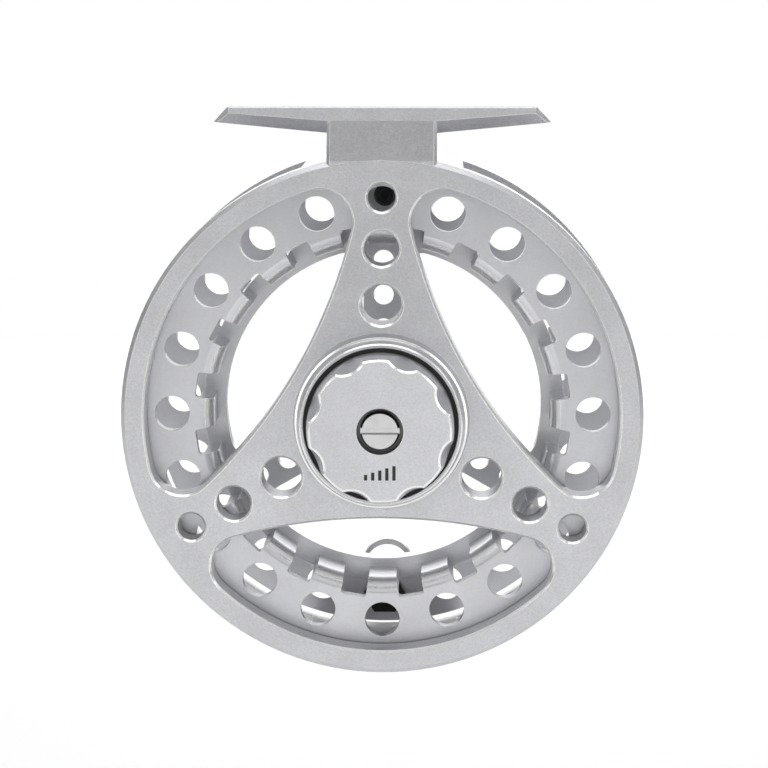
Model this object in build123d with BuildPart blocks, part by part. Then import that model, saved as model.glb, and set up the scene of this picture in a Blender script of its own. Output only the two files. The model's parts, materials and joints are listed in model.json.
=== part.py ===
from build123d import *
import os
from math import radians, tan

# A large-arbor fly reel, in millimetres, hanging from its foot: +Z is up, the foot's top
# face is at z = 0, and the back of the reel, with the drag knob, faces -Y.
# "Depth" runs forward along the reel axis from the outer face of the spool's back flange.
# Radii are taken from the reel axis unless a comment says otherwise.

# ---- Reel foot
foot_height = 49.7            # top face of the foot above the reel axis
foot_mid_depth = 4.75         # depth of the middle of the foot
foot_width = 14.5
foot_half_length = 26.8
foot_top_half_length = 24.2
foot_corner = 2.6             # bevel of the blade's corners seen from above
stem_half_width = 8.7
root_thickness = 4.4          # blade thickness beside the stem
root_wall = 2.4               # upright part of the blade's edge beside the stem
tip_thickness = 2.7
tip_wall = 1.0
blade_bevel = 2.0
blade_edge = 0.4
stem_edge = 0.5
foot_screw_spread = 4.6
foot_screw_radius = 1.5
foot_screw_head = 2.8
foot_screw_length = 6.2
foot_screw_socket = 1.2       # across the corners and deep

# ---- Frame
frame_radius = 41.8
cage_bore_radius = 39.8
face_edge = 0.7               # bevel round the back face
ring_back = -4.85             # back face at the ring
hub_back = -6.45              # back face beside the knob collar
face_curve = ((ring_back, 36.5), (-5.75, 27.0), (hub_back, 14.5))   # depth, radius
plate_front = -0.45
ring_front = 0.6
front_ring_back = 17.4
frame_front = 21.0
pillar_half_angle = 18.0
window_radius = 38.0
window_inner_reach = 15.9     # nearest point of a window to the reel axis
window_inner_curve = 85.0
window_corner = 5.0
spoke_holes = ((35.4, 2.2), (27.4, 2.75), (18.5, 3.2))   # radius of place, radius of hole
rim_bevel = 0.38
collar_root = 0.4             # how far the collar is let into the back plate
collar_outline = (            # depth, radius: slightly conical, with a step
    (hub_back, 14.1),
    (-8.75, 13.7),
    (-8.95, 13.35),
    (-10.45, 12.95),
    (-10.7, 12.7),
)
collar_lip_depth = -10.7
collar_bore = 12.3
wall_back = -6.8              # floor of the knob recess
wall_front = -4.0             # floor of the drag cup
cup_radius = 9.5
boss_radius = 11.5
boss_front = 1.0

# ---- Drag
spindle_radius = 3.0
fit = 0.05                    # radial clearance of a running fit
spindle_back = -13.2
spindle_nose = 23.0
spindle_edge = 0.4
spindle_nose_edge = 0.8
spindle_flange_radius = 5.0
spindle_flange_front = -2.9
nut_back = -9.0
nut_width = 8.0               # across flats
knob_radius = 11.55
knob_face_depth = -16.6
knob_face_radius = 11.2
knob_shoulder_depth = -14.6
knob_front_depth = -7.7
knob_edge = 0.3
knob_seal_depths = (-9.9, -8.4)
scallop_count = 8
scallop_radius = 3.7
scallop_depth = 0.95          # at the knob's face; the scallops run out before the collar
scallop_end = -11.2
scallop_phase = 19.2          # of the first, clockwise from the top seen from the back
screw_recess_radius = 3.65
screw_recess_floor = -14.6
knob_screw_radius = 2.0
knob_screw_head = 3.1
knob_screw_face = 2.8
knob_screw_height = 1.7
knob_screw_slot = (0.95, 0.8)  # wide, deep
insert_back = -14.0
insert_radius = 5.2
insert_flange_radius = 8.6
insert_flange_back = -10.5
insert_front = -9.9
seat_front = -9.4
washer_radius = 8.3           # of the spring seat and the thrust washer
thrust_back = -8.0
thrust_front = -7.2
push_pin_radius = 1.0
push_pin_place = 7.0
push_pin_count = 3
push_pin_phase = 30
disc_spring_radii = (5.6, 8.0)
disc_spring_thickness = 0.4
plate_back = -3.7             # pressure plate
plate_thickness = 1.0
plate_bore = 5.3
rotor_back = -1.57
rotor_thickness = 1.0
friction_thickness = 0.8
friction_bore = 5.6
disc_radius = 9.0
sleeve_radius = 4.6
sleeve_front = 9.4
cover_back = 0.25
cover_gap = 0.5               # between the drag cover and the rotor's sleeve
cover_key_holes = (7.8, 0.6)  # radius of place, radius of hole

# ---- Spool
spool_width = 21.0
flange_outer_radius = 39.0
flange_thickness = 1.9
flange_hole_count = 20
flange_hole_place = 34.0
flange_hole_radius = 2.84
arbor_radius = 29.7
arbor_bore = 27.5
lip_curve = ((0, arbor_radius), (0.7, arbor_bore + 0.6), (2.5, arbor_bore - 0.2))   # depth, radius
lip_step = 0.1
slot_width = 4.1
slot_outer_radius = 29.9
slot_corner = 0.45
flange_edge = 0.4
web_back = 9.8
web_front = 13.0
web_ring_bore = 26.0
hub_radius = 9.6
hub_back_depth = 1.8
hub_front_depth = 20.4
spool_spoke_count = 3
spool_spoke_width = 6.6
spool_spoke_fillet = 3.0
spool_spoke_holes = (12.7, 18.3, 24.0)
spool_spoke_hole_radius = 1.65

# ---- Clutch and bearings, all on the spindle
seal_depths = (1.9, 2.6)
seal_bore = 4.8
clutch_radius = 8.0
clutch_bore = 5.0
clutch_depths = (2.7, 8.9)
clutch_lip = 0.4
roller_clearance = 0.03
roller_end_play = 0.1
roller_count = 10
roller_radius = 1.0
shoulder_radius = 5.9         # step between the clutch bore and the bearing bore
shoulder_depth = 9.0
bearing_radius = 6.5
bearing_width = 3.5
bearing_backs = {"rear": 9.9, "front": 16.1}
ball_count = 8
ball_radius = 0.9
ball_place = 4.75
race_thickness = 1.0
circlip_depths = (19.7, 20.3)
circlip_radii = (5.4, 6.9)
circlip_gap = 3.0

# ---- Spool release
cover_front = 24.2
cover_edge = 0.8
cover_screw_place = 8.0
cover_screw_radius = 0.8
cover_screw_head = 1.3
cover_screw_head_depth = 0.9
cover_screw_length = 3.0
latch_depths = (20.5, 21.5)
latch_groove_radius = 2.3
latch_travel = 1.5
latch_left = -7.1
latch_right = 5.4
latch_half_width = 4.3
latch_corner = 1.2
latch_bore_play = 0.15
latch_clearance = 0.25
button_span = (-6.9, -4.8)
button_half_width = 1.5
button_front = 25.2
latch_spring_coil = 0.4
latch_spring_wire = 0.12
latch_spring_turns = 6
latch_spring_end = 8.6

# ---- Handle and balance weight
crank_radius = 34.0
small_edge = 0.3
handle_flange_radius = 4.5
handle_flange_front = 22.3
handle_front = 44.0
handle_post_radius = 1.9
handle_stud = (1.5, 1.8)      # radius, length behind the flange
handle_nut_radius = 3.6
handle_barrel = ((24.0, 4.4), (32.0, 3.55), (39.3, 3.9))   # depth, radius
handle_groove = (39.7, 41.2, 3.2)                          # back, front, radius
handle_end_radius = 4.4
handle_play = 0.2
bush_radius = 2.6
handle_screw_radii = (1.0, 2.9)
handle_screw_length = 5.0
handle_screw_front = 44.6
weight_radius = 4.2
weight_height = 3.6
weight_edge = 0.6
weight_washer = (3.6, 0.6)    # radius, thickness
weight_screw_radii = (1.0, 1.8)
weight_screw_head = 1.0
weight_screw_reach = 1.6      # into the weight, past the flange

ORIGIN = Vector(0, -foot_mid_depth, -foot_height)      # depth 0 on the reel axis
REEL_AXIS = Axis(ORIGIN, (0, 1, 0))
SECTION = Plane(origin=ORIGIN, x_dir=(0, 1, 0), z_dir=(1, 0, 0))   # x is depth, y is radius
CRANK = ORIGIN - Vector(0, 0, crank_radius)
CRANK_AXIS = Axis(CRANK, (0, 1, 0))
CRANK_SECTION = Plane(origin=CRANK, x_dir=(0, 1, 0), z_dir=(1, 0, 0))
BALANCE = ORIGIN + Vector(0, 0, crank_radius)
BALANCE_AXIS = Axis(BALANCE, (0, 1, 0))
BALANCE_SECTION = Plane(origin=BALANCE, x_dir=(0, 1, 0), z_dir=(1, 0, 0))

rim_underside = cage_bore_radius - foot_height         # height of the cage's bore at the top

os.makedirs("parts", exist_ok=True)


def across(depth):
    """Plane square to the reel axis; extruding by a positive amount goes backwards."""
    return Plane(origin=ORIGIN + Vector(0, depth, 0), x_dir=(1, 0, 0), z_dir=(0, -1, 0))


def turned(*corners, section=SECTION):
    """Half section of a turned piece, from its (depth, radius) corners."""
    with BuildSketch(section) as half:
        with BuildLine():
            Polyline(*corners, close=True)
        make_face()
    return half.sketch


def crank_plane(depth):
    """Plane square to the handle's axis, facing backwards."""
    return Plane(origin=CRANK + Vector(0, depth, 0), x_dir=(1, 0, 0), z_dir=(0, -1, 0))


def ring(back, front, inner, outer, section=SECTION):
    """Half section of a plain ring, or of a rod when its inner radius is 0."""
    return turned((back, inner), (front, inner), (front, outer), (back, outer), section=section)


def depth_of(shape):
    """Depth of the middle of an edge or face."""
    return shape.center().Y - ORIGIN.Y


def radius_of(shape):
    """Distance of the middle of an edge or face from the reel axis."""
    middle = shape.center()
    return Vector(middle.X, 0, middle.Z - ORIGIN.Z).length


def save(part, name):
    """Label a finished piece and write its STEP file."""
    part.label = name
    export_step(part, f"parts/{name}.step")


# ==== Frame ================================================================
# Back plate with three spokes, knob collar, drag cup, two pillars and front ring.

with BuildSketch() as window:
    Circle(window_radius)
    with Locations((0, -window_inner_reach - window_inner_curve)):
        Circle(window_inner_curve, mode=Mode.INTERSECT)
    fillet(window.vertices(), window_corner)

with BuildPart() as frame:
    with BuildSketch(SECTION):
        with BuildLine():
            face = ThreePointArc(*face_curve)
            Polyline(
                face @ 1,
                (hub_back, spindle_radius),
                (plate_front, spindle_radius),
                (plate_front, cage_bore_radius),
                (frame_front, cage_bore_radius),
                (frame_front, frame_radius),
                (ring_back + face_edge, frame_radius),
                (ring_back, frame_radius - face_edge),
                face @ 0,
            )
        make_face()
    revolve(axis=REEL_AXIS)
    # the cage is open at both sides, between a pillar at the top and one at the bottom
    with BuildSketch(across(ring_front)):
        Circle(frame_radius + 1)
        Circle(cage_bore_radius - 1, mode=Mode.SUBTRACT)
        wedge_height = 2 * frame_radius
        wedge_half_width = wedge_height * tan(radians(pillar_half_angle))
        for side in (1, -1):
            with BuildLine():
                Polyline(
                    (0, 0),
                    (wedge_half_width, side * wedge_height),
                    (-wedge_half_width, side * wedge_height),
                    close=True,
                )
            make_face(mode=Mode.SUBTRACT)
    extrude(amount=ring_front - front_ring_back, mode=Mode.SUBTRACT)
    with BuildSketch(across(ring_front)):
        with PolarLocations(0, 3):
            add(window.sketch)
    extrude(amount=10, mode=Mode.SUBTRACT)
    with BuildSketch(across(plate_front)):
        for place, hole in spoke_holes:
            with PolarLocations(place, 3, start_angle=90):
                Circle(hole)
    extrude(amount=10, mode=Mode.SUBTRACT)
    back_rims = frame.edges().filter_by(lambda edge: depth_of(edge) < ring_back + 0.3)
    chamfer(back_rims.filter_by(lambda edge: 15 < radius_of(edge) < 38.5), rim_bevel)
    # knob collar, stepped and slightly conical, and the boss round the drag cup
    revolve(
        turned(
            (hub_back + collar_root, 0),
            (hub_back + collar_root, collar_outline[0][1]),
            *collar_outline,
            (collar_lip_depth, 0),
        ),
        axis=REEL_AXIS,
    )
    revolve(ring(plate_front - 1, boss_front, 0, boss_radius), axis=REEL_AXIS)
    # knob recess, drag cup, spindle bore and push-pin holes
    revolve(ring(collar_lip_depth - 1, wall_back, 0, collar_bore), axis=REEL_AXIS, mode=Mode.SUBTRACT)
    revolve(ring(wall_front, boss_front + 1, 0, cup_radius), axis=REEL_AXIS, mode=Mode.SUBTRACT)
    revolve(ring(wall_back - 1, boss_front, 0, spindle_radius), axis=REEL_AXIS, mode=Mode.SUBTRACT)
    with BuildSketch(across(wall_front)):
        with PolarLocations(push_pin_place, push_pin_count, start_angle=push_pin_phase):
            Circle(push_pin_radius + fit)
    extrude(amount=wall_front - wall_back, mode=Mode.SUBTRACT)
    # countersunk holes for the foot screws, drilled up through the top pillar
    with BuildSketch(Plane.XY.offset(rim_underside - 1)):
        with Locations((-foot_screw_spread, 0), (foot_screw_spread, 0)):
            Circle(foot_screw_radius)
    extrude(amount=10, mode=Mode.SUBTRACT)
    with BuildSketch(Plane.XY.offset(rim_underside)):
        with Locations((-foot_screw_spread, 0), (foot_screw_spread, 0)):
            Circle(foot_screw_head)
    extrude(amount=foot_screw_head - foot_screw_radius, taper=45, mode=Mode.SUBTRACT)
save(frame.part, "frame")

# ==== Foot =================================================================
# The blade tapers to both ends; the stem reaches down to the top pillar.


def blade_section(thickness, wall):
    """Half-outline corners (across, up) of the blade, widest at its top face."""
    half = foot_width / 2
    return (
        (-half, 0),
        (half, 0),
        (half, -wall),
        (half - blade_bevel, -thickness),
        (-half + blade_bevel, -thickness),
        (-half, -wall),
    )


with BuildPart() as reel_foot:
    for side in (1, -1):
        with BuildSketch(Plane.YZ.offset(side * stem_half_width)):
            Polygon(*blade_section(root_thickness, root_wall), align=None)
        with BuildSketch(Plane.YZ.offset(side * foot_half_length)):
            Polygon(*blade_section(tip_thickness, tip_wall), align=None)
        loft()
    with BuildSketch(Plane.YZ):
        Polygon(*blade_section(root_thickness, root_wall), align=None)
    extrude(amount=stem_half_width, both=True)
    # stem: its back face runs down to the edge of the frame's back face
    with BuildSketch(Plane.YZ):
        Polygon(
            (-foot_width / 2, -1),
            (foot_width / 2, -1),
            (foot_width / 2, rim_underside),
            (ring_back - foot_mid_depth, rim_underside),
            (ring_back - foot_mid_depth, frame_radius - face_edge - foot_height),
            (-foot_width / 2, -root_wall),
            align=None,
        )
    extrude(amount=stem_half_width, both=True)
    stem_sides = reel_foot.edges().filter_by(
        lambda edge: abs(abs(edge.center().X) - stem_half_width) < 0.1 and edge.center().Z < -root_wall - 1
    )
    chamfer(stem_sides.filter_by(lambda edge: abs(edge.tangent_at(0.5).Z) > 0.8), stem_edge)
    with BuildSketch(Plane.XZ):
        for side in (1, -1):
            Polygon(
                (side * foot_top_half_length, 0),
                (side * (foot_half_length + 1), 0),
                (side * (foot_half_length + 1), -tip_thickness - 1),
                (side * foot_half_length, -tip_thickness),
                align=None,
            )
    extrude(amount=foot_width, both=True, mode=Mode.SUBTRACT)
    with BuildSketch(Plane.XY):
        for side in (1, -1):
            for end in (1, -1):
                Polygon(
                    (end * foot_half_length, side * (foot_width / 2 - foot_corner)),
                    (end * (foot_half_length - foot_corner), side * foot_width / 2),
                    (end * (foot_half_length + 1), side * (foot_width / 2 + 1)),
                    align=None,
                )
    extrude(amount=tip_thickness * 2, both=True, mode=Mode.SUBTRACT)
    chamfer(reel_foot.faces().sort_by(Axis.Z)[-1].edges(), blade_edge)
    # the stem sits on the rim of the frame
    revolve(
        turned(
            (ring_back - 10, 0),
            (ring_back - 10, frame_radius - face_edge),
            (ring_back, frame_radius - face_edge),
            (ring_back + face_edge, frame_radius),
            (frame_front + 10, frame_radius),
            (frame_front + 10, 0),
        ),
        axis=REEL_AXIS,
        mode=Mode.SUBTRACT,
    )
    with BuildSketch(Plane.XY.offset(rim_underside)):
        with Locations((-foot_screw_spread, 0), (foot_screw_spread, 0)):
            Circle(foot_screw_radius)
    extrude(amount=foot_screw_length, mode=Mode.SUBTRACT)
save(reel_foot.part, "reel_foot")

with BuildPart() as foot_screws:
    with BuildSketch(Plane.XY.offset(rim_underside)):
        with Locations((-foot_screw_spread, 0), (foot_screw_spread, 0)):
            Circle(foot_screw_radius)
    extrude(amount=foot_screw_length)
    with BuildSketch(Plane.XY.offset(rim_underside)):
        with Locations((-foot_screw_spread, 0), (foot_screw_spread, 0)):
            Circle(foot_screw_head)
    extrude(amount=foot_screw_head - foot_screw_radius, taper=45)
    with BuildSketch(Plane.XY.offset(rim_underside)):
        with Locations((-foot_screw_spread, 0), (foot_screw_spread, 0)):
            RegularPolygon(foot_screw_socket, 6)
    extrude(amount=foot_screw_socket, mode=Mode.SUBTRACT)
    # heads follow the bore of the cage
    revolve(ring(0, frame_front, 0, cage_bore_radius), axis=REEL_AXIS, mode=Mode.SUBTRACT)
save(foot_screws.part, "foot_screws")

# ==== Spindle and what is fixed to the frame ================================

with BuildPart() as spindle:
    revolve(
        turned(
            (spindle_back, knob_screw_radius),
            (spindle_back, spindle_radius - spindle_edge),
            (spindle_back + spindle_edge, spindle_radius),
            (wall_front, spindle_radius),
            (wall_front, spindle_flange_radius),
            (spindle_flange_front, spindle_flange_radius),
            (spindle_flange_front, spindle_radius),
            (hub_front_depth, spindle_radius),
            (hub_front_depth, latch_groove_radius),
            (latch_depths[1] + fit, latch_groove_radius),
            (latch_depths[1] + fit, spindle_radius),
            (spindle_nose - spindle_nose_edge, spindle_radius),
            (spindle_nose, spindle_radius - spindle_nose_edge),
            (spindle_nose, 0),
            (insert_front, 0),
            (insert_front, knob_screw_radius),
        ),
        axis=REEL_AXIS,
    )
save(spindle.part, "spindle")

with BuildPart() as spindle_nut:
    with BuildSketch(across(wall_back)):
        RegularPolygon(nut_width / 2, 6, major_radius=False)
        Circle(spindle_radius, mode=Mode.SUBTRACT)
    extrude(amount=wall_back - nut_back)
save(spindle_nut.part, "spindle_nut")

with BuildPart() as knob_screw:
    revolve(
        turned(
            (screw_recess_floor - fit, 0),
            (screw_recess_floor - fit, knob_screw_head),
            (screw_recess_floor - knob_screw_height / 2, knob_screw_head),
            (screw_recess_floor - knob_screw_height, knob_screw_face),
            (screw_recess_floor - knob_screw_height, 0),
        ),
        axis=REEL_AXIS,
    )
    revolve(ring(screw_recess_floor - fit, insert_front - 0.5, 0, knob_screw_radius), axis=REEL_AXIS)
    with BuildSketch(across(screw_recess_floor - knob_screw_height + knob_screw_slot[1])):
        Rectangle(3 * knob_screw_head, knob_screw_slot[0])
    extrude(amount=2 * knob_screw_slot[1], mode=Mode.SUBTRACT)
save(knob_screw.part, "knob_screw")

with BuildPart() as knob_seal:
    revolve(ring(*knob_seal_depths, knob_radius + fit, collar_bore), axis=REEL_AXIS)
save(knob_seal.part, "knob_seal")

with BuildPart() as drag_cover:
    revolve(ring(cover_back, boss_front, sleeve_radius + cover_gap, cup_radius), axis=REEL_AXIS)
    with BuildSketch(across(boss_front)):
        with PolarLocations(cover_key_holes[0], 2):
            Circle(cover_key_holes[1])
    extrude(amount=boss_front, mode=Mode.SUBTRACT)
save(drag_cover.part, "drag_cover")

# ==== Drag: knob, springs, push pins and discs ==============================

scallop_start_centre = ORIGIN + Vector(0, knob_face_depth, knob_face_radius - scallop_depth + scallop_radius)
scallop_end_centre = ORIGIN + Vector(0, scallop_end, knob_radius + scallop_radius)
with BuildPart() as scallop:
    with BuildSketch(Plane(origin=scallop_start_centre, z_dir=scallop_end_centre - scallop_start_centre)):
        Circle(scallop_radius)
    extrude(amount=knob_front_depth - knob_face_depth, both=True)

with BuildPart() as drag_knob:
    revolve(
        turned(
            (knob_face_depth, 0),
            (knob_face_depth, knob_face_radius),
            (knob_shoulder_depth, knob_radius),
            (knob_front_depth, knob_radius),
            (knob_front_depth, 0),
        ),
        axis=REEL_AXIS,
    )
    for number in range(scallop_count):
        turn = scallop_phase + number * 360 / scallop_count
        add(scallop.part.rotate(REEL_AXIS, turn), mode=Mode.SUBTRACT)
    chamfer(drag_knob.faces().sort_by(Axis.Y)[0].edges(), knob_edge)
    # recess for the screw's head, its clearance hole, and the seat of the insert
    revolve(
        turned(
            (knob_face_depth - 1, 0),
            (knob_face_depth - 1, screw_recess_radius),
            (screw_recess_floor, screw_recess_radius),
            (screw_recess_floor, knob_screw_radius + 2 * fit),
            (insert_back, knob_screw_radius + 2 * fit),
            (insert_back, insert_radius),
            (insert_flange_back, insert_radius),
            (insert_flange_back, insert_flange_radius),
            (knob_front_depth + 1, insert_flange_radius),
            (knob_front_depth + 1, 0),
        ),
        axis=REEL_AXIS,
        mode=Mode.SUBTRACT,
    )
save(drag_knob.part, "drag_knob")

with BuildPart() as knob_insert:
    revolve(ring(insert_back, insert_front, spindle_radius + fit, insert_radius), axis=REEL_AXIS)
    revolve(ring(insert_flange_back, insert_front, insert_radius, insert_flange_radius), axis=REEL_AXIS)
save(knob_insert.part, "knob_insert")

with BuildPart() as spring_seat:
    revolve(ring(insert_front, seat_front, insert_radius, washer_radius), axis=REEL_AXIS)
save(spring_seat.part, "spring_seat")

with BuildPart() as disc_springs:
    # two coned washers, wide ends together
    spring_inner, spring_outer = disc_spring_radii
    spring_middle = (seat_front + thrust_back) / 2
    for end, toward in ((seat_front, disc_spring_thickness), (thrust_back, -disc_spring_thickness)):
        revolve(
            turned(
                (end, spring_inner),
                (end + toward, spring_inner),
                (spring_middle, spring_outer),
                (spring_middle - toward, spring_outer),
            ),
            axis=REEL_AXIS,
        )
save(disc_springs.part, "disc_springs")

with BuildPart() as thrust_washer:
    revolve(ring(thrust_back, thrust_front, insert_radius, washer_radius), axis=REEL_AXIS)
save(thrust_washer.part, "thrust_washer")

with BuildPart() as push_pins:
    with BuildSketch(across(plate_back)):
        with PolarLocations(push_pin_place, push_pin_count, start_angle=push_pin_phase):
            Circle(push_pin_radius)
    extrude(amount=plate_back - thrust_front)
save(push_pins.part, "push_pins")

with BuildPart() as pressure_plate:
    revolve(
        ring(plate_back, plate_back + plate_thickness, plate_bore, disc_radius),
        axis=REEL_AXIS,
    )
save(pressure_plate.part, "pressure_plate")

rotor_front = rotor_back + rotor_thickness
with BuildPart() as drag_rotor:
    revolve(ring(rotor_back, rotor_front, spindle_radius + fit, disc_radius), axis=REEL_AXIS)
    revolve(ring(rotor_front, sleeve_front, spindle_radius + fit, sleeve_radius), axis=REEL_AXIS)
save(drag_rotor.part, "drag_rotor")

for name, back in (("rear", rotor_back - friction_thickness), ("front", rotor_front)):
    with BuildPart() as friction_disc:
        revolve(ring(back, back + friction_thickness, friction_bore, disc_radius), axis=REEL_AXIS)
    save(friction_disc.part, f"{name}_friction_disc")

# ==== Spool =================================================================

with BuildPart() as spool:
    # flanges and arbor; the arbor's ends are rounded off inside the flanges
    with BuildSketch(SECTION):
        with BuildLine():
            back_lip = ThreePointArc(*lip_curve)
            front_lip = ThreePointArc(*[(spool_width - depth, radius) for depth, radius in lip_curve])
            Polyline(
                back_lip @ 1,
                (lip_curve[-1][0] + lip_step, arbor_bore),
                (spool_width - lip_curve[-1][0] - lip_step, arbor_bore),
                front_lip @ 1,
            )
            Polyline(
                front_lip @ 0,
                (spool_width, flange_outer_radius - flange_edge),
                (spool_width - flange_edge, flange_outer_radius),
                (spool_width - flange_thickness, flange_outer_radius),
                (spool_width - flange_thickness, arbor_radius),
                (flange_thickness, arbor_radius),
                (flange_thickness, flange_outer_radius),
                (flange_edge, flange_outer_radius),
                (0, flange_outer_radius - flange_edge),
                back_lip @ 0,
            )
        make_face()
    revolve(axis=REEL_AXIS)
    with BuildSketch(across(spool_width + 1)):
        with PolarLocations(flange_hole_place, flange_hole_count, start_angle=90):
            Circle(flange_hole_radius)
    extrude(amount=spool_width + 2, mode=Mode.SUBTRACT)
    # slots through the arbor wall, from each end to the web
    slot_middle = (slot_outer_radius + web_ring_bore) / 2
    slot_length = slot_outer_radius - web_ring_bore + 1
    for front, length in ((web_back, web_back + 1), (spool_width + 1, spool_width + 1 - web_front)):
        with BuildSketch(across(front)):
            with PolarLocations(slot_middle, flange_hole_count, start_angle=90 + 180 / flange_hole_count):
                RectangleRounded(slot_length, slot_width, slot_corner)
        extrude(amount=length, mode=Mode.SUBTRACT)
    # web: an inner ring and three pierced spokes to the hub
    with BuildSketch(across(web_front)):
        Circle(arbor_bore + 0.3)
        Circle(web_ring_bore, mode=Mode.SUBTRACT)
        Circle(hub_radius)
        with PolarLocations(0, spool_spoke_count, start_angle=90):
            with Locations(((hub_radius + web_ring_bore) / 2, 0)):
                Rectangle(web_ring_bore - hub_radius + 2, spool_spoke_width)
    extrude(amount=web_front - web_back)
    web_corners = spool.edges().filter_by(Axis.Y)
    web_corners = web_corners.filter_by(lambda edge: web_back < depth_of(edge) < web_front)
    fillet(
        web_corners.filter_by(lambda edge: hub_radius - 0.5 < radius_of(edge) < web_ring_bore + 0.5),
        spool_spoke_fillet,
    )
    revolve(ring(hub_back_depth, hub_front_depth, 0, hub_radius), axis=REEL_AXIS)
    with BuildSketch(across(web_front)):
        for place in spool_spoke_holes:
            with PolarLocations(place, spool_spoke_count, start_angle=90):
                Circle(spool_spoke_hole_radius)
    extrude(amount=web_front - web_back, mode=Mode.SUBTRACT)
    # stepped bore for clutch and bearings, with a groove for the retaining ring
    revolve(
        turned(
            (hub_back_depth - 1, 0),
            (hub_back_depth - 1, clutch_radius),
            (shoulder_depth, clutch_radius),
            (shoulder_depth, shoulder_radius),
            (bearing_backs["rear"], shoulder_radius),
            (bearing_backs["rear"], bearing_radius),
            (circlip_depths[0], bearing_radius),
            (circlip_depths[0], circlip_radii[1]),
            (circlip_depths[1], circlip_radii[1]),
            (circlip_depths[1], bearing_radius),
            (hub_front_depth + 1, bearing_radius),
            (hub_front_depth + 1, 0),
        ),
        axis=REEL_AXIS,
        mode=Mode.SUBTRACT,
    )
    with BuildSketch(across(hub_front_depth)):
        with PolarLocations(cover_screw_place, 2, start_angle=90):
            Circle(cover_screw_radius)
    extrude(amount=cover_screw_length, mode=Mode.SUBTRACT)
save(spool.part, "spool")

# ==== One-way clutch and bearings ===========================================

with BuildPart() as clutch_seal:
    revolve(ring(*seal_depths, seal_bore, clutch_radius), axis=REEL_AXIS)
save(clutch_seal.part, "clutch_seal")

roller_place = sleeve_radius + roller_clearance + roller_radius
with BuildPart() as clutch_shell:
    revolve(
        ring(*clutch_depths, clutch_bore, clutch_radius),
        axis=REEL_AXIS,
    )
    revolve(
        ring(
            clutch_depths[0] + clutch_lip,
            clutch_depths[1] - clutch_lip,
            0,
            roller_place + roller_radius + roller_clearance,
        ),
        axis=REEL_AXIS,
        mode=Mode.SUBTRACT,
    )
save(clutch_shell.part, "clutch_shell")

with BuildPart() as clutch_rollers:
    with BuildSketch(across(clutch_depths[1] - clutch_lip - roller_end_play)):
        with PolarLocations(roller_place, roller_count):
            Circle(roller_radius)
    extrude(amount=clutch_depths[1] - clutch_depths[0] - 2 * (clutch_lip + roller_end_play))
save(clutch_rollers.part, "clutch_rollers")

for name, back in bearing_backs.items():
    front = back + bearing_width
    races = (
        ("inner", spindle_radius, spindle_radius + race_thickness),
        ("outer", bearing_radius - race_thickness, bearing_radius),
    )
    for race_name, inner, outer in races:
        with BuildPart() as race:
            revolve(ring(back, front, inner, outer), axis=REEL_AXIS)
            with BuildSketch(SECTION):
                with Locations((back + bearing_width / 2, ball_place)):
                    Circle(ball_radius + fit)
            revolve(axis=REEL_AXIS, mode=Mode.SUBTRACT)
        save(race.part, f"{name}_bearing_{race_name}_race")
    with BuildPart() as balls:
        with Locations(across(back + bearing_width / 2)):
            with PolarLocations(ball_place, ball_count):
                Sphere(ball_radius)
    save(balls.part, f"{name}_bearing_balls")

with BuildPart() as bearing_spacer:
    revolve(
        ring(
            bearing_backs["rear"] + bearing_width,
            bearing_backs["front"],
            spindle_radius,
            spindle_radius + race_thickness,
        ),
        axis=REEL_AXIS,
    )
save(bearing_spacer.part, "bearing_spacer")

with BuildPart() as bearing_clip:
    with BuildSketch(across(circlip_depths[1])):
        Circle(circlip_radii[1])
        Circle(circlip_radii[0], mode=Mode.SUBTRACT)
        with Locations((0, -circlip_radii[1])):
            Rectangle(circlip_gap, circlip_radii[0], mode=Mode.SUBTRACT)
    extrude(amount=circlip_depths[1] - circlip_depths[0])
save(bearing_clip.part, "bearing_clip")

# ==== Spool release =========================================================

cover_screw_seat = cover_front - cover_screw_head_depth
pocket_left = latch_left - latch_clearance
pocket_right = latch_right + latch_travel + latch_clearance
with BuildPart() as latch_cover:
    revolve(ring(hub_front_depth, cover_front, 0, hub_radius), axis=REEL_AXIS)
    chamfer(latch_cover.faces().sort_by(Axis.Y)[-1].edges(), cover_edge)
    with BuildSketch(across(hub_front_depth)):
        with Locations(((pocket_left + pocket_right) / 2, 0)):
            Rectangle(pocket_right - pocket_left, 2 * (latch_half_width + latch_clearance))
        with Locations(((pocket_right + latch_spring_end) / 2, 0)):
            Rectangle(latch_spring_end - pocket_right, 4 * latch_spring_coil)
    extrude(amount=hub_front_depth - latch_depths[1] - latch_clearance, mode=Mode.SUBTRACT)
    with BuildSketch(across(hub_front_depth)):
        slot_left = button_span[0] - latch_clearance
        slot_right = button_span[1] + latch_travel + latch_clearance
        with Locations(((slot_left + slot_right) / 2, 0)):
            Rectangle(slot_right - slot_left, 2 * (button_half_width + latch_clearance))
    extrude(amount=-10, mode=Mode.SUBTRACT)
    revolve(
        ring(hub_front_depth, spindle_nose + latch_clearance, 0, spindle_radius + latch_clearance),
        axis=REEL_AXIS,
        mode=Mode.SUBTRACT,
    )
    with BuildSketch(across(hub_front_depth)):
        with PolarLocations(cover_screw_place, 2, start_angle=90):
            Circle(cover_screw_radius)
    extrude(amount=-10, mode=Mode.SUBTRACT)
    with BuildSketch(across(cover_screw_seat)):
        with PolarLocations(cover_screw_place, 2, start_angle=90):
            Circle(cover_screw_head)
    extrude(amount=-2, mode=Mode.SUBTRACT)
save(latch_cover.part, "latch_cover")

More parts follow.
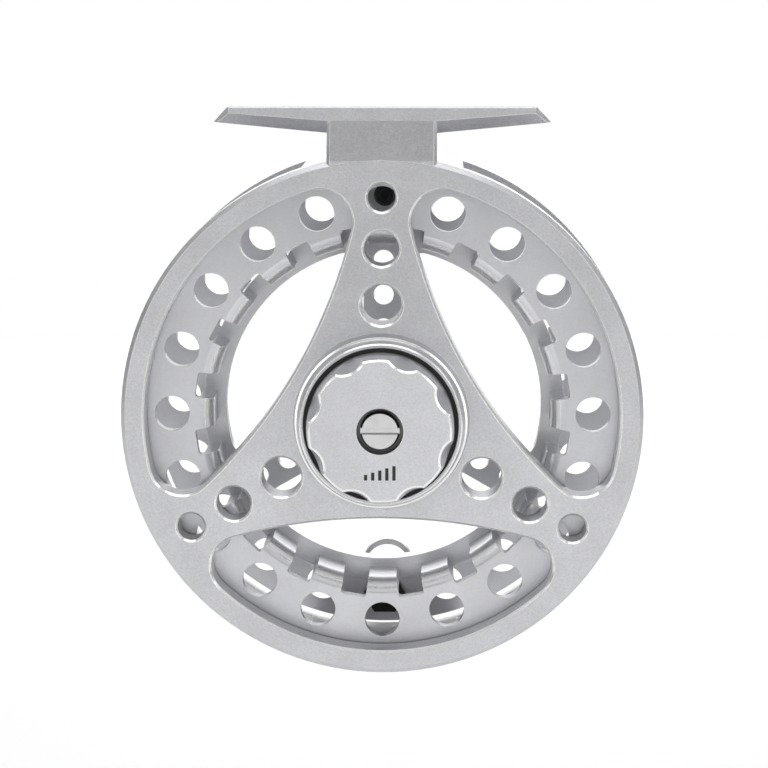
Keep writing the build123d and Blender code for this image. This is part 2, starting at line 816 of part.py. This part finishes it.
with BuildPart() as cover_screws:
    with BuildSketch(across(cover_screw_seat)):
        with PolarLocations(cover_screw_place, 2, start_angle=90):
            Circle(cover_screw_radius)
    extrude(amount=cover_screw_seat - hub_front_depth + cover_screw_length)
    with BuildSketch(across(cover_screw_seat)):
        with PolarLocations(cover_screw_place, 2, start_angle=90):
            Circle(cover_screw_head)
    extrude(amount=-cover_screw_head_depth)
    with BuildSketch(across(cover_screw_seat + cover_screw_head_depth / 2)):
        with PolarLocations(cover_screw_place, 2, start_angle=90):
            Rectangle(cover_screw_head / 3, 3 * cover_screw_head)
    extrude(amount=-cover_screw_head_depth, mode=Mode.SUBTRACT)
save(cover_screws.part, "cover_screws")

with BuildPart() as latch_plate:
    with BuildSketch(across(latch_depths[1])):
        with Locations(((latch_left + latch_right) / 2, 0)):
            RectangleRounded(latch_right - latch_left, 2 * latch_half_width, latch_corner)
        with Locations((-latch_travel, 0)):
            Circle(spindle_radius + latch_bore_play, mode=Mode.SUBTRACT)
        Circle(latch_groove_radius + fit, mode=Mode.SUBTRACT)
    extrude(amount=latch_depths[1] - latch_depths[0])
    with BuildSketch(across(latch_depths[1])):
        with Locations(((button_span[0] + button_span[1]) / 2, 0)):
            Rectangle(button_span[1] - button_span[0], 2 * button_half_width)
    extrude(amount=latch_depths[1] - button_front)
    chamfer(latch_plate.faces().sort_by(Axis.Y)[-1].edges(), small_edge)
save(latch_plate.part, "latch_plate")

with BuildPart() as latch_spring:
    spring_length = latch_spring_end - latch_right - 4 * latch_spring_wire
    spring_start = latch_right + 2 * latch_spring_wire
    with BuildLine():
        coil = Helix(
            pitch=spring_length / latch_spring_turns,
            height=spring_length,
            radius=latch_spring_coil,
            center=ORIGIN + Vector(spring_start, (latch_depths[0] + latch_depths[1]) / 2, 0),
            direction=(1, 0, 0),
        )
    with BuildSketch(Plane(origin=coil @ 0, z_dir=coil % 0)):
        Circle(latch_spring_wire)
    sweep()
save(latch_spring.part, "latch_spring")

# ==== Handle and balance weight =============================================

flange_inside = spool_width - flange_thickness         # inner face of the front flange
stud_radius, stud_length = handle_stud
screw_shank, screw_head = handle_screw_radii

with BuildPart() as handle_post:
    revolve(
        turned(
            (flange_inside - stud_length, 0),
            (flange_inside - stud_length, stud_radius),
            (flange_inside, stud_radius),
            (flange_inside, flange_hole_radius),
            (spool_width, flange_hole_radius),
            (spool_width, handle_flange_radius),
            (handle_flange_front - small_edge, handle_flange_radius),
            (handle_flange_front, handle_flange_radius - small_edge),
            (handle_flange_front, handle_post_radius),
            (handle_front, handle_post_radius),
            (handle_front, screw_shank),
            (handle_front - handle_screw_length, screw_shank),
            (handle_front - handle_screw_length, 0),
            section=CRANK_SECTION,
        ),
        axis=CRANK_AXIS,
    )
save(handle_post.part, "handle_post")

with BuildPart() as handle_nut:
    with BuildSketch(crank_plane(flange_inside)):
        RegularPolygon(handle_nut_radius, 6)
        Circle(stud_radius, mode=Mode.SUBTRACT)
    extrude(amount=stud_length - small_edge)
save(handle_nut.part, "handle_nut")

barrel_back = handle_flange_front + handle_play
barrel_front = handle_front - handle_play
with BuildPart() as handle_bush:
    revolve(
        ring(barrel_back, barrel_front, handle_post_radius + fit, bush_radius, section=CRANK_SECTION),
        axis=CRANK_AXIS,
    )
save(handle_bush.part, "handle_bush")

with BuildPart() as handle_knob:
    groove_back, groove_front, groove_radius = handle_groove
    with BuildSketch(CRANK_SECTION):
        with BuildLine():
            barrel = Spline(*handle_barrel)
            Polyline(
                barrel @ 1,
                (groove_back, groove_radius),
                (groove_front, groove_radius),
                (groove_front + small_edge, handle_end_radius),
                (barrel_front - small_edge, handle_end_radius),
                (barrel_front, handle_end_radius - small_edge),
                (barrel_front, bush_radius),
                (barrel_back, bush_radius),
                (barrel_back, handle_barrel[0][1] - small_edge),
                (barrel_back + small_edge, handle_barrel[0][1]),
                barrel @ 0,
            )
        make_face()
    revolve(axis=CRANK_AXIS)
save(handle_knob.part, "handle_knob")

with BuildPart() as handle_screw:
    revolve(
        turned(
            (handle_front - handle_screw_length, 0),
            (handle_front - handle_screw_length, screw_shank),
            (handle_front, screw_shank),
            (handle_front, screw_head),
            (handle_screw_front - small_edge, screw_head),
            (handle_screw_front, screw_head - small_edge),
            (handle_screw_front, 0),
            section=CRANK_SECTION,
        ),
        axis=CRANK_AXIS,
    )
    with BuildSketch(crank_plane(handle_screw_front - small_edge)):
        Rectangle(3 * screw_head, 2 * small_edge)
    extrude(amount=-1, mode=Mode.SUBTRACT)
save(handle_screw.part, "handle_screw")

weight_front = spool_width + weight_height
weight_shank, weight_head = weight_screw_radii
washer_back = flange_inside - weight_washer[1]
with BuildPart() as balance_weight:
    revolve(
        turned(
            (flange_inside, weight_shank),
            (flange_inside, flange_hole_radius),
            (spool_width, flange_hole_radius),
            (spool_width, weight_radius),
            (weight_front - weight_edge, weight_radius),
            (weight_front, weight_radius - weight_edge),
            (weight_front, 0),
            (spool_width + weight_screw_reach, 0),
            (spool_width + weight_screw_reach, weight_shank),
            section=BALANCE_SECTION,
        ),
        axis=BALANCE_AXIS,
    )
save(balance_weight.part, "balance_weight")

with BuildPart() as balance_washer:
    revolve(
        ring(washer_back, flange_inside, weight_shank, weight_washer[0], section=BALANCE_SECTION),
        axis=BALANCE_AXIS,
    )
save(balance_washer.part, "balance_washer")

with BuildPart() as balance_screw:
    revolve(
        turned(
            (washer_back - weight_screw_head, 0),
            (washer_back - weight_screw_head, weight_head - small_edge),
            (washer_back - weight_screw_head + small_edge, weight_head),
            (washer_back, weight_head),
            (washer_back, weight_shank),
            (spool_width + weight_screw_reach, weight_shank),
            (spool_width + weight_screw_reach, 0),
            section=BALANCE_SECTION,
        ),
        axis=BALANCE_AXIS,
    )
    socket_plane = Plane(
        origin=BALANCE + Vector(0, washer_back - weight_screw_head / 2, 0),
        x_dir=(1, 0, 0),
        z_dir=(0, -1, 0),
    )
    with BuildSketch(socket_plane):
        RegularPolygon(weight_head / 2, 6)
    extrude(amount=weight_screw_head, mode=Mode.SUBTRACT)
save(balance_screw.part, "balance_screw")
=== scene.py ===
import json
from math import pi, radians

import bpy
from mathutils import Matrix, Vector


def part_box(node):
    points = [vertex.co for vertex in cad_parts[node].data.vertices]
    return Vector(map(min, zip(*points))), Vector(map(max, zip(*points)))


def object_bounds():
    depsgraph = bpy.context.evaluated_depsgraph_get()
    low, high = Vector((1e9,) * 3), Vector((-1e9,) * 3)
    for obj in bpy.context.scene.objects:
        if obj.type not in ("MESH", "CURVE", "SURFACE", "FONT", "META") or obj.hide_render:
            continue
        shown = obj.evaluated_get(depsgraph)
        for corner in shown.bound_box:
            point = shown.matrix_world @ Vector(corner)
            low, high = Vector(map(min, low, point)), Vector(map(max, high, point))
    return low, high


# A fly reel seen from its drag-knob side. Lengths are metres, in the CAD frame: the reel
# hangs from its foot, +Z is up, and the reel axis runs along Y.

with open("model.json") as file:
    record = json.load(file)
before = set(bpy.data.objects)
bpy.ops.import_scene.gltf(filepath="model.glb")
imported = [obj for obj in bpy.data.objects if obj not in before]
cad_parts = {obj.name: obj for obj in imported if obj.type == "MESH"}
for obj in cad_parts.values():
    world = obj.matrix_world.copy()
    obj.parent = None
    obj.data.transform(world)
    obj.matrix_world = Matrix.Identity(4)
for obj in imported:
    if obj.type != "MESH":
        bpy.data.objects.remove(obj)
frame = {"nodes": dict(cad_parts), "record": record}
cad_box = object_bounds()

MM = 0.001
scene = bpy.context.scene
scene.view_settings.view_transform = "Standard"
scene.view_settings.look = "None"

knob_low, knob_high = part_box("drag_knob")
AXIS_X = (knob_low[0] + knob_high[0]) / 2
AXIS_Z = (knob_low[2] + knob_high[2]) / 2
KNOB_FACE_Y = knob_low[1]
REEL_BOTTOM = cad_box[0][2]
RIM_INSIDE = 40.0 * MM           # the machined bevels within this radius get a painted highlight

PAINT_METAL = 0.82
PAINT_TINT = (0.985, 0.99, 1.025)
EDGE_SOFTNESS = 0.35             # how far the bevelled normal turns before an edge gets the full painted highlight

RECESS_RADIUS = 3.7 * MM         # the recess in the knob's face, round the screw, painted dark as shade
RECESS_DEPTH = 0.35 * MM

BAR_COUNT = 5                    # the printed scale below the screw
BAR_PITCH = 1.1 * MM
BAR_HALF_WIDTH = 0.26 * MM
BAR_SHORTEST = 0.9 * MM
BAR_RISE = 0.35 * MM
BARS_BELOW_AXIS = 7.7 * MM
PRINT_DEPTH = 0.1 * MM

THREAD_PITCH = 0.9 * MM          # of the woven friction discs

# ---- Node helpers -----------------------------------------------------------


class Shader:
    """A material's node tree, with a Principled shader and short ways to add nodes."""

    def __init__(self, name):
        self.material = bpy.data.materials.new(name)
        self.material.use_nodes = True
        self.nodes = self.material.node_tree.nodes
        self.links = self.material.node_tree.links
        self.principled = self.nodes["Principled BSDF"]
        self.place = self.node("ShaderNodeTexCoord").outputs["Object"]

    def node(self, kind, settings=None, **inputs):
        """Add a node; inputs are values or outputs, named by their socket with _ for a space."""
        node = self.nodes.new(kind)
        for key, value in (settings or {}).items():
            setattr(node, key, value)
        for key, value in inputs.items():
            self.put(node.inputs[key.replace("_", " ")], value)
        return node

    def put(self, socket, value):
        if isinstance(value, bpy.types.NodeSocket):
            self.links.new(value, socket)
        else:
            socket.default_value = value

    def math(self, operation, first, second=0.0, third=0.0):
        node = self.node("ShaderNodeMath", {"operation": operation})
        for socket, value in zip(node.inputs, (first, second, third)):
            self.put(socket, value)
        return node.outputs[0]

    def stretched(self, scale):
        """Object coordinates stretched by a scale along each axis."""
        return self.node("ShaderNodeMapping", Vector=self.place, Scale=scale).outputs[0]

    def noise(self, size, detail=2.0, place=None):
        """Noise from 0 to 1 with features about size metres across."""
        node = self.node(
            "ShaderNodeTexNoise", Vector=place or self.place, Scale=1 / size, Detail=detail
        )
        return node.outputs["Fac"]

    def flakes(self, size):
        """A random grey for each cell, for the flakes in a metallic paint."""
        node = self.node("ShaderNodeTexVoronoi", Vector=self.place, Scale=1 / size)
        return self.node("ShaderNodeSeparateColor", Color=node.outputs["Color"]).outputs[0]

    def spread(self, value, low, high, from_low=0.0, from_high=1.0):
        """Map a value to a range, clamped."""
        node = self.node("ShaderNodeMapRange")
        for socket, number in zip(node.inputs, (value, from_low, from_high, low, high)):
            self.put(socket, number)
        return node.outputs[0]

    def blend(self, factor, first, second):
        node = self.node("ShaderNodeMix", {"data_type": "RGBA"})
        sockets = (node.inputs[0], node.inputs[6], node.inputs[7])
        for socket, value in zip(sockets, (factor, first, second)):
            self.put(socket, value)
        return node.outputs[2]

    def edges(self, radius):
        """Bevelled normal, and a mask that is 1 along convex and concave edges, where a highlight is
        painted into the colour.
        """
        bevel = self.node("ShaderNodeBevel", {"samples": 6}, Radius=radius).outputs[0]
        normal = self.node("ShaderNodeNewGeometry").outputs["Normal"]
        dot = self.node("ShaderNodeVectorMath", {"operation": "DOT_PRODUCT"})
        self.put(dot.inputs[0], bevel)
        self.put(dot.inputs[1], normal)
        return bevel, self.spread(dot.outputs["Value"], 0.0, 1.0, 1.0, 1.0 - EDGE_SOFTNESS)

    def bevel_highlight(self):
        """Mask of the machined bevels, whose faces stand at about 45 degrees to the reel axis, where a
        highlight is painted into the colour.
        """
        normal = self.node("ShaderNodeNewGeometry").outputs["Normal"]
        along = self.math("ABSOLUTE", self.node("ShaderNodeSeparateXYZ", Vector=normal).outputs[1])
        lower = self.spread(along, 0.0, 1.0, 0.50, 0.60)
        upper = self.spread(along, 1.0, 0.0, 0.86, 0.93)
        inside_rim = self.math("LESS_THAN", self.axis_distance_squared(), RIM_INSIDE ** 2)
        return self.math("MULTIPLY", self.math("MULTIPLY", lower, upper), inside_rim)

    def axis_distance_squared(self):
        """Square of the distance from the reel axis."""
        across, _, up = self.node("ShaderNodeSeparateXYZ", Vector=self.place).outputs
        side = self.math("SUBTRACT", across, AXIS_X)
        level = self.math("SUBTRACT", up, AXIS_Z)
        return self.math("MULTIPLY_ADD", side, side, self.math("MULTIPLY", level, level))

    def bump(self, height, distance, strength, normal=None):
        """Normal raised by a height of 0 to 1, distance metres deep at 1."""
        node = self.node("ShaderNodeBump", Height=height, Distance=distance, Strength=strength)
        if normal is not None:
            self.put(node.inputs["Normal"], normal)
        return node.outputs[0]

    def surface(self, **inputs):
        """Set the Principled shader's inputs and return the material."""
        for key, value in inputs.items():
            self.put(self.principled.inputs[key.replace("_", " ")], value)
        return self.material


def grey(value, tint=0.0):
    """Linear grey with a slight blue tint."""
    return (value, value * (1 + tint / 2), value * (1 + tint), 1)


# ---- Materials --------------------------------------------------------------


def silver_paint(name, shade, roughness, flake_size, grain, edge_radius):
    """Satin silver paint on a casting: fine flakes, soft orange peel, and a painted highlight on edges
    and machined bevels.
    """
    paint = Shader(name)
    bevel, edge_highlight = paint.edges(edge_radius)
    flake = paint.flakes(flake_size)
    cloud = paint.noise(9 * MM, detail=3)
    tone = paint.spread(flake, shade * (1 - grain), shade * (1 + grain))
    tone = paint.math("MULTIPLY", tone, paint.spread(cloud, 0.95, 1.05, 0.3, 0.7))
    body = paint.node("ShaderNodeCombineColor")
    for socket, tint in zip(body.inputs, PAINT_TINT):
        paint.put(socket, paint.math("MULTIPLY", tone, tint))
    # painted highlight: edges and bevels are painted near-white in the base colour
    painted_highlight = paint.math("MAXIMUM", edge_highlight, paint.bevel_highlight())
    colour = paint.blend(painted_highlight, body.outputs[0], grey(0.90))
    mottle = paint.noise(0.6 * MM, detail=4)
    rough = paint.spread(mottle, roughness - 0.04, roughness + 0.06, 0.3, 0.7)
    rough = paint.math("MULTIPLY", rough, paint.spread(painted_highlight, 1.0, 0.6))
    peel = paint.noise(0.35 * MM, detail=3)
    height = paint.math("ADD", peel, paint.math("MULTIPLY", flake, grain))
    return paint, dict(
        Base_Color=colour,
        Metallic=PAINT_METAL,
        Roughness=rough,
        Normal=paint.bump(height, 0.012 * MM, 0.55, bevel),
    )


def frame_paint():
    paint, look = silver_paint("frame_paint", 0.58, 0.36, 0.16 * MM, 0.09, 0.16 * MM)
    return paint.surface(**look)


def spool_paint():
    paint, look = silver_paint("spool_paint", 0.62, 0.34, 0.20 * MM, 0.03, 0.14 * MM)
    return paint.surface(**look)


def knob_paint():
    """The frame's paint, with a printed scale of rising bars below the screw, and painted shade in the
    recess round the screw.
    """
    paint, look = silver_paint("knob_paint", 0.63, 0.34, 0.14 * MM, 0.08, 0.16 * MM)
    across, depth, up = paint.node("ShaderNodeSeparateXYZ", Vector=paint.place).outputs
    mark = 0.0
    for step in range(BAR_COUNT):
        height = BAR_SHORTEST + BAR_RISE * step
        middle = AXIS_X + (step - (BAR_COUNT - 1) / 2) * BAR_PITCH
        level = AXIS_Z - BARS_BELOW_AXIS + height / 2
        off_side = paint.math("ABSOLUTE", paint.math("SUBTRACT", across, middle))
        off_level = paint.math("ABSOLUTE", paint.math("SUBTRACT", up, level))
        bar = paint.math("MULTIPLY", paint.math("LESS_THAN", off_side, BAR_HALF_WIDTH),
                         paint.math("LESS_THAN", off_level, height / 2))
        mark = paint.math("MAXIMUM", bar, mark)
    on_face = paint.math("LESS_THAN", depth, KNOB_FACE_Y + PRINT_DEPTH)
    mark = paint.math("MULTIPLY", mark, on_face)
    # painted shade: the recess round the screw is painted dark
    recess_shade = paint.math("LESS_THAN", paint.axis_distance_squared(), RECESS_RADIUS ** 2)
    sunk = paint.math("GREATER_THAN", depth, KNOB_FACE_Y + RECESS_DEPTH)
    recess_shade = paint.math("MULTIPLY", recess_shade, sunk)
    look["Base_Color"] = paint.blend(recess_shade, look["Base_Color"], grey(0.16))
    look["Base_Color"] = paint.blend(mark, look["Base_Color"], grey(0.01))
    look["Metallic"] = paint.spread(mark, PAINT_METAL, 0.0)
    return paint.surface(**look)


def turned_metal(name, shade, roughness, pitch):
    """Machined metal with fine tool lines round the reel axis, and a painted highlight along its edges.
    """
    metal = Shader(name)
    bevel, edge_highlight = metal.edges(0.08 * MM)
    lines = metal.noise(pitch, detail=1, place=metal.stretched((0.04, 1.0, 0.04)))
    smears = metal.noise(2.5 * MM, detail=4)
    tone = metal.blend(smears, grey(shade * 0.9), grey(shade * 1.06))
    return metal.surface(
        # painted highlight: edges are lighter in the base colour
        Base_Color=metal.blend(edge_highlight, tone, grey(shade * 1.25)),
        Metallic=1.0,
        Roughness=metal.spread(smears, roughness * 0.85, roughness * 1.25, 0.3, 0.7),
        Normal=metal.bump(lines, 0.006 * MM, 0.5, bevel),
    )


def polished_steel():
    """Smudged mirror finish with fine straight hairlines."""
    metal = Shader("polished_steel")
    bevel, _ = metal.edges(0.1 * MM)
    hairlines = metal.noise(0.05 * MM, detail=2, place=metal.stretched((1.0, 1.0, 0.03)))
    smudge = metal.noise(1.6 * MM, detail=4)
    return metal.surface(
        Base_Color=metal.blend(smudge, grey(0.42), grey(0.54)),
        Metallic=1.0,
        Roughness=metal.spread(smudge, 0.08, 0.2, 0.3, 0.7),
        Normal=metal.bump(hairlines, 0.002 * MM, 0.35, bevel),
    )


def dark_steel():
    """Black-oxide steel, with a painted highlight along its edges."""
    metal = Shader("dark_steel")
    bevel, edge_highlight = metal.edges(0.1 * MM)
    grain = metal.noise(0.15 * MM, detail=3)
    body = metal.blend(grain, grey(0.014), grey(0.045, 0.05))
    return metal.surface(
        # painted highlight: edges are lighter in the base colour
        Base_Color=metal.blend(edge_highlight, body, grey(0.16)),
        Metallic=0.7,
        Roughness=metal.spread(grain, 0.28, 0.42, 0.3, 0.7),
        Normal=metal.bump(grain, 0.008 * MM, 0.4, bevel),
    )


def brass():
    """Turned brass, stained in places, with a painted highlight along its edges."""
    metal = Shader("brass")
    bevel, edge_highlight = metal.edges(0.08 * MM)
    lines = metal.noise(0.12 * MM, detail=1, place=metal.stretched((0.04, 1.0, 0.04)))
    stain = metal.noise(1.8 * MM, detail=5)
    body = metal.blend(stain, (0.52, 0.34, 0.11, 1), (0.70, 0.50, 0.20, 1))
    return metal.surface(
        # painted highlight: edges are lighter in the base colour
        Base_Color=metal.blend(edge_highlight, body, (0.85, 0.68, 0.36, 1)),
        Metallic=1.0,
        Roughness=metal.spread(stain, 0.22, 0.36, 0.3, 0.7),
        Normal=metal.bump(lines, 0.006 * MM, 0.5, bevel),
    )


def friction():
    """Woven carbon friction disc: two crossed sets of threads."""
    weave = Shader("friction")
    across, _, up = weave.node("ShaderNodeSeparateXYZ", Vector=weave.place).outputs
    waves = []
    for direction in (across, up):
        phase = weave.math("MULTIPLY", direction, 2 * pi / THREAD_PITCH)
        waves.append(weave.math("SINE", phase))
    crossed = weave.spread(weave.math("MULTIPLY", *waves), 0.0, 1.0, -1.0, 1.0)
    dust = weave.noise(0.2 * MM, detail=4)
    return weave.surface(
        Base_Color=weave.blend(crossed, grey(0.012), grey(0.06)),
        Metallic=0.0,
        Roughness=weave.spread(dust, 0.45, 0.7, 0.3, 0.7),
        Normal=weave.bump(crossed, 0.05 * MM, 0.6),
    )


def moulded(name, low, high, roughness):
    """Moulded rubber or plastic with a fine grain."""
    skin = Shader(name)
    grain = skin.noise(0.2 * MM, detail=4)
    bevel, _ = skin.edges(0.1 * MM)
    return skin.surface(
        Base_Color=skin.blend(skin.noise(1.5 * MM, detail=3), low, high),
        Metallic=0.0,
        Roughness=skin.spread(grain, roughness - 0.06, roughness + 0.08, 0.3, 0.7),
        Normal=skin.bump(grain, 0.01 * MM, 0.5, bevel),
    )


MATERIALS = {
    "frame_paint": frame_paint(),
    "spool_paint": spool_paint(),
    "knob_paint": knob_paint(),
    "handle_silver": turned_metal("handle_silver", 0.46, 0.26, 0.10 * MM),
    "cover_silver": turned_metal("cover_silver", 0.62, 0.28, 0.12 * MM),
    "polished_steel": polished_steel(),
    "plain_steel": turned_metal("plain_steel", 0.50, 0.30, 0.08 * MM),
    "dark_steel": dark_steel(),
    "brass": brass(),
    "friction": friction(),
    "rubber": moulded("rubber", grey(0.012), grey(0.022), 0.6),
    "bush_plastic": moulded("bush_plastic", (0.72, 0.71, 0.66, 1), (0.80, 0.79, 0.74, 1), 0.42),
}

for entry in frame["record"]["subparts"]:
    node = frame["nodes"][entry["node"]]
    for material_slot in node.material_slots:
        material_slot.material = MATERIALS[entry["material_slot"]]

# ---- Stage, light and camera -------------------------------------------------

FLOOR_DROP = 60 * MM             # below the reel
FLOOR_RADIUS = 0.85

# brightness of the studio from straight down, 0, to straight up, 1
STUDIO_STOPS = ((0.0, 0.9), (0.40, 0.8), (0.47, 0.24), (0.56, 0.14), (0.70, 0.26), (1.0, 0.6))

# name, location, width and height, and power of the lights that face the reel
SOFTBOXES = (
    ("top_light", (0.0, -0.05, 0.75), (0.9, 0.7), 2.6),
    ("left_light", (-0.75, -0.55, 0.15), (0.5, 0.9), 3.0),
    ("right_light", (0.75, -0.45, 0.20), (0.5, 0.9), 3.0),
    ("back_light", (0.0, 0.8, 0.25), (1.0, 0.7), 4.5),
)

CAMERA_PLACE = (9.465 * MM, -408.55 * MM, 17.94 * MM)
CAMERA_DOWN = 8.825              # degrees below level
CAMERA_PAN = 1.303               # degrees to the left
CAMERA_LENS = 118.85


def build_floor():
    place = (0, 0, REEL_BOTTOM - FLOOR_DROP)
    bpy.ops.mesh.primitive_circle_add(vertices=96, radius=FLOOR_RADIUS, fill_type="NGON", location=place)
    floor = bpy.context.object
    floor.name = "floor"
    pale = Shader("floor_pale")
    cloud = pale.noise(120 * MM, detail=2)
    floor.data.materials.append(
        pale.surface(Base_Color=pale.blend(cloud, grey(0.88), grey(0.90)), Roughness=0.8)
    )


def build_world():
    """White to the camera; for light and reflections, a studio that is dim near the horizon."""
    world = bpy.data.worlds.new("studio")
    scene.world = world
    world.use_nodes = True
    nodes, links = world.node_tree.nodes, world.node_tree.links
    background = nodes["Background"]
    place = nodes.new("ShaderNodeTexCoord")
    split = nodes.new("ShaderNodeSeparateXYZ")
    ramp = nodes.new("ShaderNodeValToRGB")
    path = nodes.new("ShaderNodeLightPath")
    mix = nodes.new("ShaderNodeMix")
    mix.data_type = "RGBA"
    links.new(place.outputs["Generated"], split.inputs[0])
    height = nodes.new("ShaderNodeMapRange")
    height.inputs[1].default_value = -1.0
    links.new(split.outputs[2], height.inputs[0])
    links.new(height.outputs[0], ramp.inputs[0])
    elements = ramp.color_ramp.elements
    for element, (position, shade) in zip(elements, (STUDIO_STOPS[0], STUDIO_STOPS[-1])):
        element.position, element.color = position, grey(shade)
    for position, shade in STUDIO_STOPS[1:-1]:
        elements.new(position).color = grey(shade)
    links.new(path.outputs["Is Camera Ray"], mix.inputs[0])
    links.new(ramp.outputs[0], mix.inputs[6])
    mix.inputs[7].default_value = (1, 1, 1, 1)
    links.new(mix.outputs[2], background.inputs[0])


def add_softbox(name, location, target, size, power):
    light = bpy.data.lights.new(name, "AREA")
    light.shape = "RECTANGLE"
    light.size, light.size_y = size
    light.energy = power
    lamp = bpy.data.objects.new(name, light)
    lamp.location = location
    offset = target - lamp.location
    lamp.rotation_euler = offset.to_track_quat("-Z", "Y").to_euler()
    lamp.visible_camera = False
    scene.collection.objects.link(lamp)


def build_lights():
    middle = Vector((0, 0, AXIS_Z))
    for name, location, size, power in SOFTBOXES:
        add_softbox(name, Vector(location), middle, size, power)
    front = Vector((0.0, -0.62, 0.10))
    # brightens the floor before the reel, which the lower half of the reel then reflects
    add_softbox("floor_light", front, front - Vector((0, 0, 1)), (1.0, 0.5), 2.0)


def build_camera():
    camera = bpy.data.cameras.new("camera")
    camera.sensor_width = 36.0
    camera.lens = CAMERA_LENS
    camera.clip_start = 0.01
    view = bpy.data.objects.new("camera", camera)
    view.location = CAMERA_PLACE
    view.rotation_euler = (radians(90 - CAMERA_DOWN), 0, radians(CAMERA_PAN))
    scene.collection.objects.link(view)
    scene.camera = view


build_floor()
build_world()
build_lights()
build_camera()
